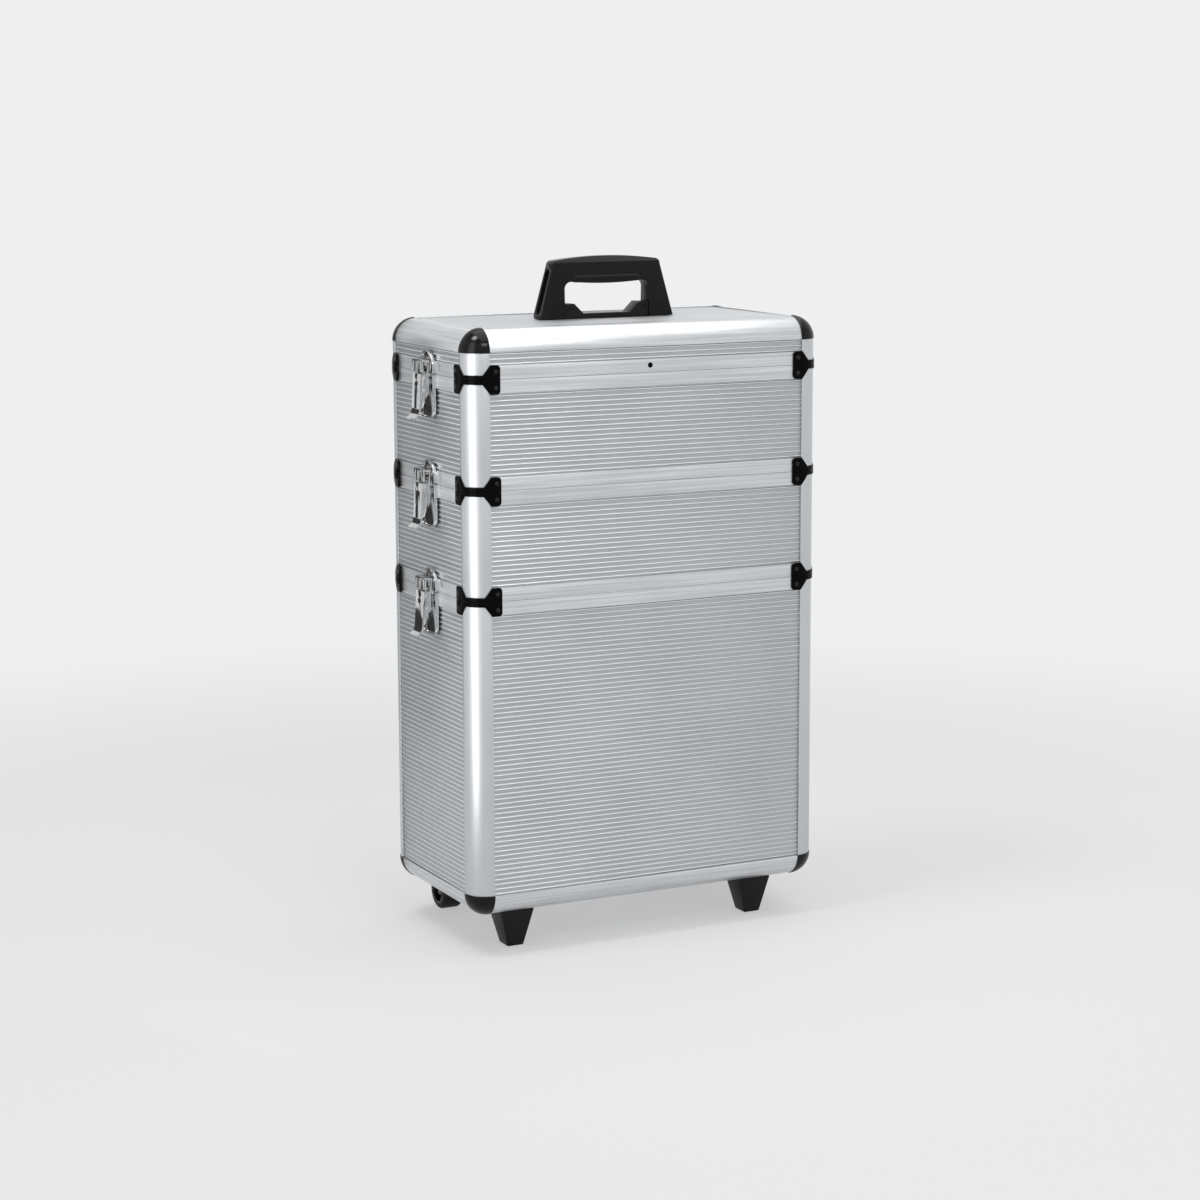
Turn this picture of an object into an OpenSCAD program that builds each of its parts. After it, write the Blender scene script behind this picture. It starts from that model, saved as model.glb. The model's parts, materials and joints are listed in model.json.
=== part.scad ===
// Rolling makeup case: a wheeled bin with two trays and a lid stacked on it.
// Drawn round the case's own middle with z = 0 at its underside, then stood on the floor.

/* [Case] */
// Width of the case across its front
case_w = 380; // [340:1:440]
// Depth of the case from front to back
case_d = 200; // [180:1:260]
// Height of the bottom bin
bin_h = 308; // [270:1:360]
// Height of each of the two trays
tray_h = 105; // [95:1:140]
// Height of the lid
lid_h = 47; // [46:1:70]
// Radius of the rounded edges and corners
edge_r = 22; // [21:0.5:25]
// Gap between two stacked sections
seam_gap = 0.2; // [0.1:0.05:0.4]

/* [Wall panels] */
// Thickness of a wall panel without its ribs
panel_t = 6; // [5:0.25:7]
// Depth of a panel's flat face below the outside of the case
panel_in = 2; // [1.8:0.1:2.4]
// Depth of the lid's top and of the floor below the outside of the case
end_in = 0.8; // [0.6:0.1:2]
// How far a panel's edge reaches into an edge profile
slot_depth = 6; // [4:0.5:6.5]
// How far the lid's top and the floor reach into their rails
end_slot = 3; // [2:0.5:4]
// Thickness of the profiles' inner lip
lip_t = 1.2; // [1:0.1:1.6]
// Distance from one rib to the next
rib_pitch = 4.65; // [4:0.05:6]
// Height of a rib
rib_h = 0.9; // [0.5:0.1:1.2]
// Width of a rib at its root
rib_w = 1.7; // [1.2:0.1:2.2]
// Width of a rib at its crest
rib_crest = 0.7; // [0.4:0.1:1]
// Clearance of a panel in its slot
slot_fit = 0.05; // [0.02:0.01:0.1]

/* [Rims] */
// Height of a rim's outer face
rim_h = 13; // [11:0.5:15]
// Height of a rim's solid web at the seam
rim_web = 8; // [7:0.5:9]
// Height of the tongue that locates the section above
tongue_h = 5; // [3:0.5:5.5]
// Thickness of the tongue
tongue_t = 3; // [2:0.25:3.5]
// Depth of the tongue below the outside of the case
tongue_in = 4; // [3.5:0.25:4.5]
// Clearance round the tongue
tongue_fit = 0.4; // [0.3:0.1:0.6]
// Width of the ledge that carries a tray's floor
ledge_w = 6; // [4:0.5:9]
// Thickness of that ledge
ledge_t = 1.5; // [1:0.1:2]
// Thickness of a tray's floor
tray_floor_t = 3; // [2:0.5:4]
// Clearance round a tray's floor
floor_fit = 0.3; // [0.2:0.1:0.6]

/* [Corners] */
// How far the ball corners stand proud of the edges
ball_proud = 0.7; // [0.4:0.1:1.2]
// Reach of a corner clip along each face, from the corner
clip_reach = 32; // [28:0.5:38]
// Thickness of a corner clip
clip_t = 1.2; // [0.8:0.1:1.6]
// Height of a clip half round the post
clip_band = 4.2; // [3:0.2:5]
// Height of a clip half's ear
clip_ear = 13.6; // [12:0.2:16]
// Run of the slope from the band up to the ear
clip_run = 7.5; // [5:0.5:10]
// Radius of an ear's outer corner
clip_r = 3.5; // [2:0.25:5]
// Clearance between a clip and its post
clip_fit = 0.05; // [0.02:0.01:0.1]

/* [Feet] */
// Height of the feet and wheels under the case
foot_h = 40; // [38:1:50]
// Distance from the case's side to a foot's middle
foot_in = 57.5; // [45:0.5:70]
// Distance of a foot's front behind the rounded rail
foot_back = 4; // [1:0.5:8]
// Width of a foot at its top
foot_top_w = 35; // [28:1:40]
// Width of a foot's sole
foot_sole_w = 17; // [14:1:24]
// Depth of a foot at its top
foot_top_d = 31; // [27:1:36]
// Depth of a foot's sole
foot_sole_d = 19.5; // [15:0.5:21]
// How far the sole's front edge lies behind the top's
foot_rake = 5.5; // [2:0.5:8]
// Height of the straight band at a foot's top
foot_band = 5; // [3:0.5:8]

/* [Wheels] */
// Radius of a wheel
wheel_r = 18.5; // [16:0.5:18.5]
// Width of a wheel
wheel_w = 22; // [18:0.5:24]
// Distance from the case's side to a wheel's outer face
wheel_in = 43; // [36:0.5:60]
// Distance from the case's back to the axle
axle_in = 10; // [8:0.5:16]
// Radius of an axle
axle_r = 2.5; // [2:0.1:3]
// Clearance of a hub on its axle
axle_fit = 0.05; // [0.03:0.01:0.1]
// Radius of a hub
hub_r = 13; // [11:0.5:14]
// Depth of the dish in a hub's face
hub_dish = 4; // [2:0.5:6]
// Width of the hub's rim
hub_rim = 2; // [1.5:0.25:2.5]
// Wall of the nave round the axle
nave_t = 3; // [2:0.25:3.5]
// How far the nave stands above the hub's web
nave_up = 2; // [1:0.25:3]
// Number of round holes in a hub
hub_holes = 6; // [5:1:7]
// Depth of those holes
hub_hole_d = 2; // [1:0.25:3]
// Metal left beside those holes
hub_hole_wall = 0.6; // [0.4:0.1:1]
// Rounding of the tyre's shoulders
tyre_round = 4; // [2:0.25:4.5]
// Thickness of an axle's head and of its cap
axle_head = 1.5; // [1:0.25:2]
// How far the head and the cap stand out round the axle
axle_rim = 1.8; // [1.2:0.1:1.8]
// Gap between a hub and the axle's cap
cap_gap = 0.2; // [0.1:0.05:0.3]
// Thickness of a wheel bracket's saddle
saddle_t = 2.2; // [1.6:0.1:2.4]
// Thickness of a wheel bracket's cheek
cheek_t = 7; // [5:0.5:9]
// Wall of the cheek round the axle
boss_wall = 6; // [4:0.5:7]
// Run of the cheek's sloping front edge
cheek_run = 12; // [8:0.5:16]
// Gap between a wheel and its cheek
cheek_gap = 1; // [0.5:0.1:1.5]
// Height of the saddle's tab on the case's back, above the rounded edge
tab_h = 26; // [18:1:34]
// Length of the saddle's foot under the case, in front of the rounded edge
saddle_l = 34; // [26:1:44]

/* [Latches] */
// Distance of the latches in front of the case's middle
latch_off = 6; // [0:1:14]
// Width of a latch's plates
latch_w = 34; // [30:1:40]
// Thickness of a latch's plates
latch_t = 1.2; // [1:0.1:1.5]
// Height of the rolled edge on a latch's plates
latch_edge = 3; // [2:0.2:4]
// Length of the lower plate below the seam
plate_l = 42; // [40:1:48]
// Radius of the lower plate's bottom corners
plate_r = 9; // [5:0.5:12]
// Distance of a plate from the seam
plate_gap = 1; // [0.6:0.1:1.4]
// Height of the lever's pin off the case
pin_out = 8; // [7.6:0.1:8.4]
// Depth of the lever's pin below the seam
pin_down = 4.5; // [4:0.25:6]
// Radius of the latch pins
pin_r = 1.5; // [1.2:0.1:1.6]
// Wall of a plate's lug round the lever's pin
lug_wall = 1.3; // [1:0.1:1.3]
// Length of a lug's root below the pin
lug_root = 5.5; // [4:0.25:7]
// Thickness of the pins' heads
pin_head = 0.8; // [0.5:0.1:1.2]
// How far the heads stand out round the pins
pin_rim = 0.9; // [0.5:0.1:1]
// Clearance of the latch pins
pin_fit = 0.05; // [0.03:0.01:0.1]
// Width of a lever
lever_w = 18.8; // [17:0.2:21]
// Thickness of a lever's sheet
lever_t = 1.4; // [1.2:0.1:1.6]
// Distance from the lever's pin to the bail's pin
crank = 12; // [11:0.5:13]
// How far the bail's pin lies inside the line of the lever's pin
over_center = 1; // [0.6:0.1:1.2]
// Height of a lever's top above its pin
lever_rise = 4.8; // [4.4:0.1:5]
// Distance of a lever's face outside its pin
lever_out = 4.2; // [4.2:0.1:4.6]
// How far a lever flares out towards its lip
lever_flare = 1.8; // [1.2:0.1:2.4]
// Depth of a lever's cheeks behind its pin
cheek_in = 3; // [2.6:0.1:3.2]
// Wall of a cheek or an arm round the bail's pin
eye_wall = 1.7; // [1.2:0.1:1.8]
// Length of a lever's straight part below its pin
lever_l = 28.5; // [26:0.5:32]
// Radius of the lever's finger lip
lever_lip = 10; // [8:0.5:13]
// Thickness of a bail's arms
bail_t = 1.5; // [1.2:0.1:1.8]
// Width of a bail's arms at their pins
arm_w = 4.8; // [4:0.2:5.2]
// Height of the bail's bar
bar_h = 3.4; // [3:0.2:4]
// Depth of the bail's bar
bar_d = 3; // [2.6:0.1:3.4]
// Gap between the bail's bar and the keeper's plate
bar_gap = 0.6; // [0.4:0.1:0.8]
// Thickness of the bail's nose
nose_t = 1.6; // [1.2:0.1:2]
// Width of the nose on each side of its window
nose_w = 4; // [3:0.25:5]
// Height of a keeper's straight sides
keeper_h = 4; // [3:0.25:6]
// Depth of the keeper's ledge
ledge_out = 5.2; // [4.6:0.1:5.6]
// Height of the keeper's ledge above the seam
ledge_up = 10; // [9:0.25:12]
// Clearance between the moving pieces of a latch
latch_fit = 0.3; // [0.2:0.05:0.4]
// Radius of the lock on a lever
lock_r = 2.6; // [2:0.1:3.2]
// Distance of the lock below the seam
lock_down = 9.5; // [8:0.5:14]
// Height of the lock's barrel on the lever
lock_h = 1.2; // [1:0.1:1.6]
// Width of the key's slot
key_w = 0.8; // [0.6:0.1:1]
// Length of the key's slot
key_l = 3; // [2:0.25:3.5]

/* [Carry handle] */
// Width between the handle's legs
grip_gap = 92; // [86:1:110]
// Width of the handle across its feet
handle_foot_w = 145; // [136:1:170]
// Width of the handle across its top
handle_top_w = 117; // [106:1:136]
// Height of the handle above the lid's panel
handle_h = 60.8; // [58:0.2:72]
// Height of the grip at its ends
grip_h = 21; // [17:0.5:24]
// Rise of the grip's crown at its middle
grip_crown = 3.5; // [2:0.5:6]
// Drop of the grip's underside at its middle
grip_swell = 2; // [1:0.5:4]
// Depth of the handle at its feet
handle_foot_d = 18.6; // [17:0.2:22]
// Depth of the handle at its top
handle_top_d = 15.4; // [13:0.2:17]
// Radius of the handle's top corners
handle_r = 5; // [3:0.5:8]
// Radius of the corners of the handle's opening
hollow_r = 7; // [4:0.5:9]
// Height of the bevel along the handle's top
bevel_h = 6; // [4.5:0.25:7]
// Depth of that bevel
bevel_d = 3.6; // [2:0.2:4.5]
// Radius of the roll under the grip
roll_r = 4; // [3:0.25:4.5]
// Length of that roll
roll_l = 66; // [50:1:70]
// How far the roll stands proud of the handle's faces
roll_out = 1; // [0.6:0.1:1.1]
// Height of the handle's pin above the lid's panel
hinge_up = 5.4; // [5:0.1:7]
// Clearance under the handle's legs
hinge_fit = 0.6; // [0.4:0.1:0.8]
// Radius of the handle's pins
hinge_r = 2.2; // [1.8:0.1:2.6]
// Clearance of the handle's legs on their pins
hinge_bore_fit = 0.05; // [0.03:0.01:0.1]
// Gap between a leg and its lug
lug_gap = 0.5; // [0.3:0.1:1]
// Width of a lug at its top
lug_w = 10; // [8:0.5:12]
// Height of a lug
lug_h = 15; // [12:0.5:18]
// Thickness of the bar between the lugs
bar_t = 5.2; // [4:0.2:7]
// Run of the slope from a lug down to the bar
lug_run = 10; // [7:0.5:14]
// Depth of the handle's base
base_d = 16.6; // [15:0.2:17]
// Radius of the screw's hole in a lug's front
lug_hole_r = 1.7; // [1.2:0.1:2.2]
// Depth of that hole
lug_hole_d = 1.6; // [1:0.1:2]
// Height of that hole above the lid's panel
lug_hole_up = 10; // [9.6:0.1:11]
// Depth of the recess in a leg's outer side
recess_d = 2.4; // [1:0.1:3]
// Width of that recess
recess_w = 9.6; // [6:0.2:10]
// Length of that recess
recess_l = 45; // [30:1:46]
// How deep the pins go into the legs
pin_in = 14; // [8:0.5:18]

/* [Pull handle] */
// Distance from the case's middle to each tube
tube_x = 58; // [45:1:75]
// Gap between the case's back and the tubes
tube_gap = 4; // [3:0.5:8]
// Radius of the outer tubes
tube_r = 11; // [10:0.25:12.5]
// Wall of the tubes
tube_t = 1; // [0.8:0.1:1.2]
// Running clearance of one tube in another
tube_run = 0.3; // [0.25:0.05:0.35]
// Height of the outer tubes' lower ends above the case's underside
tube_low = 32; // [28:1:50]
// Distance of the outer tubes' tops below the bin's top
tube_drop = 12; // [8:1:20]
// Step from one tube's lower end to the next
tube_step = 6; // [4:1:10]
// Height of a tube's collar
collar_h = 5; // [4:0.5:7]
// Gap between stacked collars
collar_gap = 0.2; // [0.1:0.05:0.4]
// How far a middle tube's collar stands out round the outer tube
collar_lip = 0.6; // [0.3:0.1:1]
// Height of the handle brackets
bracket_h = 24; // [18:1:30]
// Wall round a tube in its bracket
bracket_wall = 3; // [2:0.25:3.5]
// Thickness of the bracket's back plate
bracket_t = 4; // [3:0.25:5]
// Width of the bracket's flange beyond each tube's socket
flange_w = 8; // [6:0.5:12]
// Height of the top bracket below the bin's rim
bracket_drop = 8; // [4:1:20]
// Radius of the pull grip
pull_r = 12; // [11.5:0.25:14]
// Height of the pull grip's straight sockets
pull_h = 22; // [18:1:30]
// Length of the release button
button_l = 28; // [22:1:36]
// Width of the release button
button_w = 10; // [8:0.5:12]
// How far the button stands up
button_up = 3; // [2:0.25:4]
// Depth of the button in the grip
button_in = 7; // [5:0.5:8]
// Clearance round the button
button_fit = 0.3; // [0.2:0.05:0.5]
// Crown of the button's face
button_crown = 1.2; // [0.6:0.1:2]

/* [Small trim] */
// Clearance of a fixed pin or tube in its seat
seat_fit = 0.03; // [0.02:0.01:0.08]
// Radius of the stud on the lid's front
stud_r = 2.7; // [2:0.1:3.5]
// Height of the stud's head
stud_h = 1.2; // [0.8:0.1:1.2]
// Height of the stud above the lid's seam
stud_up = 7; // [4.5:0.5:9]

/* [Hidden] */
$fn = 64;

satin = "silver";
panel_grey = "lightgray";
black = "#18191b";
chrome = "#c8ccd0";
tube_grey = "#b8bcc0";
lining = "#3a3b3d";

// How far a cut reaches past the face that it opens
past = 1;

// Seams above the case's underside, and the case's full height
seam_bottom = bin_h;
seam_middle = seam_bottom + tray_h;
seam_top = seam_middle + tray_h;
case_h = seam_top + lid_h;

// Depths measured inwards from the outside of the case
slot_in = edge_r - slot_depth;
inner_d = panel_in + panel_t + lip_t;
arc_mid = edge_r * (1 - sqrt(1 / 2));
rib_face = panel_in - rib_h;

// Ends of a wall panel, measured from the seam or from the rounded edge
rim_end = seam_gap / 2 + rim_web + slot_fit;
rib_end = seam_gap / 2 + rim_h + slot_fit;
edge_end = slot_in + slot_fit;
rib_edge = edge_r + slot_fit;

// Wheels, and the middle of the rounded edge that their brackets sit on
edge_y = case_d / 2 - edge_r;
wheel_x = case_w / 2 - wheel_in - wheel_w / 2;
axle_y = case_d / 2 - axle_in;
axle_z = wheel_r - foot_h;
cheek_x = wheel_x - wheel_w / 2 - cheek_gap - cheek_t;

// Latch: lateral gaps from the middle outwards, and the bail's pin
lever_in = lever_w / 2 - lever_t;
lug_in = lever_in - latch_fit - latch_t;
lug_r = pin_r + lug_wall;
eye_r = pin_r + eye_wall;
bail_in = lever_w / 2 + latch_fit;
bail_out = bail_in + bail_t;
bail_pin_out = pin_out - over_center;
bail_pin_down = pin_down + crank;
lever_top = pin_down - lever_rise;
lever_face = pin_out + lever_out;
lever_tip_face = lever_face + lever_flare;
lever_end = pin_down + lever_l;
bar_low = ledge_up + latch_fit;
bar_high = bar_low + bar_h;
bar_near = latch_t + bar_gap;
bar_far = bar_near + bar_d;
nose_face = lever_face - latch_fit;
nose_low = norm([lever_out, lever_rise]) - pin_down + latch_fit;

// Carry handle
lid_face = case_h - end_in;
lug_x = grip_gap / 2 - lug_gap;
leg_low = lid_face + hinge_fit;
hinge_z = lid_face + hinge_up;
hinge_y = handle_foot_d / 2 - (hinge_up - hinge_fit);
handle_top = lid_face + handle_h;
grip_top = handle_top - grip_crown;
grip_low = grip_top - grip_h;
leg_lean = atan2((handle_foot_w - handle_top_w) / 2, grip_top - handle_r - leg_low);
arch_r = function (half, rise) (half * half + rise * rise) / (2 * rise);

// Pull handle
tube_y = case_d / 2 + tube_gap + tube_r;
tube_top = bin_h - tube_drop;
middle_r = tube_r - tube_t - tube_run;
inner_r = middle_r - tube_t - tube_run;
middle_top = tube_top + collar_gap + collar_h;
inner_top = middle_top + collar_gap + collar_h;
pull_z = inner_top + pull_h;
pull_top = pull_z + pull_r;

// Shift that centres the whole object over the frame's origin
front_reach = case_d / 2 + max(clip_t, stud_h);
back_reach = tube_y + max(pull_r, tube_r + bracket_wall);
case_y = (front_reach - back_reach) / 2;

// Stands the case on the floor
module stand() translate([0, case_y, foot_h]) children();

// Repeats a corner, drawn with the case's outer faces on x = 0 and y = 0
module corners() {
    for (mx = [0, 1], my = [0, 1])
        mirror([mx, 0, 0]) mirror([0, my, 0])
            translate([-case_w / 2, -case_d / 2, 0]) children();
}

// First child goes on the front and back, second on the sides; both are drawn facing -y
module four_sides() {
    for (my = [0, 1]) mirror([0, my, 0]) translate([0, -case_d / 2, 0]) children(0);
    for (mx = [0, 1]) mirror([mx, 0, 0]) translate([-case_w / 2, 0, 0]) rotate([0, 0, -90]) children(1);
}

module both_sides() for (mx = [0, 1]) mirror([mx, 0, 0]) children();

// Turns a flat outline of depth and height into a bar along x
module along_x(length) rotate([90, 0, 90]) linear_extrude(length, center = true) children();

// Turns a flat outline of reach and height into a bar along y
module along_y(length) rotate([90, 0, 0]) linear_extrude(length, center = true) children();

// Square with two sizes and its lowest corner
module block2(x0, y0, x1, y1) translate([x0, y0]) square([x1 - x0, y1 - y0]);

// Slot outline with round ends, lying along x
module slot2(length, width) {
    square([length - width, width], center = true);
    for (s = [-1, 1]) translate([s * (length - width) / 2, 0]) circle(d = width);
}

// Extruded edge: a quarter round with two slots for the panels' edges, the first with its own place
module edge_profile(first_in, first_slot) {
    difference() {
        intersection() {
            translate([edge_r, edge_r]) circle(edge_r);
            square(edge_r);
        }
        translate([inner_d, inner_d]) square(edge_r);
        translate([edge_r - first_slot, first_in - slot_fit]) square([edge_r, panel_t + 2 * slot_fit]);
        translate([panel_in - slot_fit, slot_in]) square([panel_t + 2 * slot_fit, edge_r]);
    }
}

module posts(low, high) corners() translate([0, 0, low]) linear_extrude(high - low)
    edge_profile(panel_in, slot_depth);

// Ring of rounded rails along the case's lower edges
module rail_ring() {
    four_sides() {
        along_x(case_w - 2 * edge_r) edge_profile(end_in, end_slot);
        along_x(case_d - 2 * edge_r) edge_profile(end_in, end_slot);
    }
}

// Flat panel in the rails' slots, with its corners cut away for the ball corners
module end_panel() {
    room = 2 * (edge_r - end_slot + slot_fit);
    difference() {
        translate([0, 0, end_in + panel_t / 2])
            cube([case_w - room, case_d - room, panel_t], center = true);
        corner_room();
    }
}

module ball_corners() {
    corners() difference() {
        intersection() {
            translate([1, 1, 1] * edge_r) sphere(edge_r + ball_proud);
            translate([-1, -1, -1] * ball_proud) cube(edge_r + ball_proud);
        }
        translate([1, 1, 1] * inner_d) cube(edge_r);
    }
}

// Section through a ribbed wall, from low to high, with ribs between rib_low and rib_high
module ribbed_section(low, high, rib_low, rib_high) {
    gaps = floor((rib_high - rib_low - rib_w) / rib_pitch);
    first = (rib_low + rib_high - gaps * rib_pitch) / 2;
    rib = [[-rib_w, 0], [-rib_crest, rib_h], [rib_crest, rib_h], [rib_w, 0]];
    face = [for (i = [0 : gaps], p = rib) [panel_in - p[1], first + i * rib_pitch + p[0] / 2]];
    inside = panel_in + panel_t;
    polygon(concat([[inside, low], [panel_in, low]], face, [[panel_in, high], [inside, high]]));
}

// One ribbed wall facing -y; its plain ends sit in the posts' slots
module ribbed_wall(span, low, high, rib_low, rib_high) {
    difference() {
        along_x(span - 2 * edge_end) ribbed_section(low, high, rib_low, rib_high);
        for (s = [-1, 1])
            translate([s * (span / 2 - rib_edge / 2), 0, (low + high) / 2])
                cube([rib_edge, 2 * panel_in, high - low + past], center = true);
    }
}

// Room for the ball corners at the case's lower corners
module corner_room() corners() translate([-past, -past, -past]) cube(rib_edge + past);

module walls(low, high, rib_low, rib_high) {
    four_sides() {
        ribbed_wall(case_w, low, high, rib_low, rib_high);
        ribbed_wall(case_d, low, high, rib_low, rib_high);
    }
}

// Section through the rim under a section's walls; its height counts from the seam
module rim_section(tongue, ledge) {
    low = seam_gap / 2;
    difference() {
        union() {
            block2(0, low, panel_in - slot_fit, low + rim_h);
            block2(inner_d - lip_t + slot_fit, low, inner_d, low + rim_h);
            block2(0, low, inner_d, low + rim_web);
            if (tongue) block2(tongue_in, low - tongue_h, tongue_in + tongue_t, low + rim_web / 2);
            if (ledge) block2(inner_d - lip_t, low, inner_d + ledge_w, low + ledge_t);
        }
        if (!tongue)
            block2(tongue_in - tongue_fit, 0, tongue_in + tongue_t + tongue_fit, tongue_h + tongue_fit);
    }
}

module rim_ring(tongue = false, ledge = false) {
    four_sides() {
        along_x(case_w - 2 * edge_r) rim_section(tongue, ledge);
        along_x(case_d - 2 * edge_r) rim_section(tongue, ledge);
    }
}

module bottom_rim(seam, ledge) translate([0, 0, seam]) rim_ring(ledge = ledge);

module top_rim(seam) translate([0, 0, seam]) mirror([0, 0, 1]) rim_ring(tongue = true);

module tray_floor(seam) {
    room = 2 * (inner_d + floor_fit);
    low = seam + seam_gap / 2 + ledge_t;
    translate([0, 0, low + tray_floor_t / 2])
        cube([case_w - room, case_d - room, tray_floor_t], center = true);
}

// Plan of a corner clip: a bent strap round the post with a flat ear on each face
module clip_plan() {
    difference() {
        union() {
            intersection() {
                translate([edge_r, edge_r]) circle(edge_r + clip_t);
                translate([-clip_t, -clip_t]) square(edge_r + clip_t);
            }
            block2(edge_r, -clip_t, clip_reach, 0);
            block2(-clip_t, edge_r, 0, clip_reach);
        }
        translate([edge_r, edge_r]) circle(edge_r + clip_fit);
    }
}

// Slope that leaves a low band round the post and rises to the ear, and the ear's rounded corner
module clip_cut() {
    ear_at = edge_r - clip_fit;
    over = clip_ear + past;
    translate([0, arc_mid, 0]) rotate([90, 0, 0]) linear_extrude(arc_mid + 2 * clip_t) {
        polygon([[-2 * clip_t, clip_band], [ear_at - clip_run, clip_band], [ear_at, clip_ear],
            [ear_at, over], [-2 * clip_t, over]]);
        translate([clip_reach - clip_r, clip_ear - clip_r]) difference() {
            square(clip_r + past);
            circle(clip_r);
        }
    }
}

// Clip halves above a seam
module clip_halves() {
    corners() translate([0, 0, seam_gap / 2]) difference() {
        linear_extrude(clip_ear) clip_plan();
        clip_cut();
        mirror([1, -1, 0]) clip_cut();
    }
}

module upper_halves(seam) translate([0, 0, seam]) clip_halves();

module lower_halves(seam) translate([0, 0, seam]) mirror([0, 0, 1]) clip_halves();

// Places a latch piece drawn with x outwards from the case's side and z from the seam
module on_side(side, seam) {
    mirror([side < 0 ? 1 : 0, 0, 0]) translate([case_w / 2, -latch_off, seam]) children();
}

module on_both(seam) for (side = [-1, 1]) on_side(side, seam) children();

// Turns an outline of width and height into a plate standing out from the case's side
module outwards(from, to) translate([from, 0, 0]) rotate([90, 0, 90]) linear_extrude(to - from) children();

module plate_outline(inset) {
    half = latch_w / 2 - inset;
    low = inset - plate_l;
    corner = plate_r - inset;
    block2(-half, low + corner, half, -plate_gap - inset);
    block2(corner - half, low, half - corner, low + 2 * corner);
    for (s = [-1, 1]) translate([s * (half - corner), low + corner]) circle(corner);
}

// Lower plate: a dished escutcheon with two lugs that carry the lever's pins
module latch_plate() {
    outwards(0, latch_t) plate_outline(0);
    outwards(latch_t, latch_edge) difference() {
        plate_outline(0);
        plate_outline(latch_t);
        block2(-bail_out - latch_fit, -2 * latch_t - plate_gap, bail_out + latch_fit, 0);
    }
    for (s = [-1, 1]) difference() {
        translate([0, s * (lug_in + latch_t / 2), -pin_down]) along_y(latch_t) {
            block2(latch_t / 2, -lug_root, pin_out - lug_r / 2, 0);
            block2(pin_out - lug_r, -lug_r, pin_out, 0);
            translate([pin_out, 0]) circle(lug_r);
        }
        latch_pin_at(s) cylinder(h = 4 * latch_t, r = pin_r, center = true);
    }
}

module latch_pin_at(s) {
    translate([pin_out, s * (lug_in + latch_t / 2), -pin_down]) rotate([90, 0, 0]) children();
}

// Short pins through the lugs and the lever's cheeks
module latch_pins() {
    for (s = [-1, 1]) {
        translate([pin_out, s * (lug_in - pin_head), -pin_down]) rotate([-90 * s, 0, 0]) {
            cylinder(h = pin_head, r = pin_r + pin_rim);
            cylinder(h = lever_w / 2 - lug_in + pin_head, r = pin_r);
        }
    }
}

module latch_plates(seam) on_both(seam) {
    latch_plate();
    latch_pins();
}

// Keeper: a round-topped plate with a ledge that the bail pulls down on
module keeper() {
    middle = plate_gap + keeper_h;
    difference() {
        outwards(0, latch_edge) keeper_outline(middle, latch_w / 2);
        outwards(latch_t, latch_edge + past) keeper_outline(middle, latch_w / 2 - latch_t);
        translate([latch_t, -bail_out - latch_fit, 0])
            cube([latch_edge, 2 * (bail_out + latch_fit), middle]);
    }
    along_y(lever_w - lever_t) block2(latch_t / 2, ledge_up - latch_t, ledge_out, ledge_up);
}

module keeper_outline(middle, radius) {
    block2(-radius, plate_gap, radius, middle);
    translate([0, middle]) intersection() {
        circle(radius);
        block2(-radius, 0, radius, radius);
    }
}

module keepers(seam) on_both(seam) keeper();

// Section along a lever's outer sheet: straight, then curling out into a finger lip
module lever_sheet() {
    polygon([[lever_face - lever_t, -lever_top], [lever_face, -lever_top],
        [lever_tip_face, -lever_end], [lever_tip_face - lever_t, -lever_end]]);
    translate([lever_tip_face + lever_lip, -lever_end]) intersection() {
        difference() {
            circle(lever_lip + lever_t);
            circle(lever_lip);
        }
        polygon([[0, 0], [-2 * lever_lip, 0], [-2 * lever_lip, -2 * lever_lip],
            [-lever_lip, -2 * lever_lip]]);
    }
}

// Outline of a lever's cheek, round both pins
module lever_cheek() {
    difference() {
        union() {
            polygon([[pin_out - cheek_in, -lever_top], [lever_face - lever_t / 2, -lever_top],
                [lever_tip_face - lever_t / 2, -lever_end], [bail_pin_out + eye_r, -lever_end + lever_t],
                [bail_pin_out - eye_r, -bail_pin_down], [pin_out - cheek_in, -pin_down - cheek_in]]);
            translate([bail_pin_out, -bail_pin_down]) circle(eye_r);
        }
        translate([pin_out, -pin_down]) circle(pin_r + pin_fit);
    }
}

module latch_lever() {
    along_y(lever_w) lever_sheet();
    for (s = [-1, 1]) {
        translate([0, s * (lever_w - lever_t) / 2, 0]) along_y(lever_t) lever_cheek();
        translate([bail_pin_out, s * lever_in, -bail_pin_down]) rotate([-90 * s, 0, 0])
            cylinder(h = bail_out - lever_in + latch_fit, r = pin_r);
    }
    translate([0, 0, -lock_down]) lever_lock();
}

// Lock face on a lever, with its key slot
module lever_lock() {
    difference() {
        translate([lever_face, 0, 0]) rotate([0, 90, 0]) cylinder(h = lock_h, r = lock_r);
        translate([lever_face + lock_h, 0, 0]) cube([key_w, key_w, key_l], center = true);
    }
}

// Bail: two arms joined by a bar that bears on the keeper, with a windowed nose over the lever's end
module latch_bail() {
    for (s = [-1, 1]) translate([0, s * (bail_in + bail_t / 2), 0]) along_y(bail_t) difference() {
        union() {
            polygon([[bail_pin_out - arm_w / 2, -bail_pin_down], [bail_pin_out + arm_w / 2, -bail_pin_down],
                [bar_far, bar_high], [bar_near, bar_high]]);
            translate([bail_pin_out, -bail_pin_down]) circle(eye_r);
        }
        translate([bail_pin_out, -bail_pin_down]) circle(pin_r + pin_fit);
    }
    along_y(2 * bail_out) {
        block2(bar_near, bar_low, bar_far, bar_high);
        block2(bar_near, bar_high - nose_t, nose_face, bar_high);
    }
    for (s = [-1, 1]) translate([0, s * (bail_out - nose_w / 2), 0])
        along_y(nose_w) block2(nose_face - nose_t, nose_low, nose_face, bar_high);
}

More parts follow.
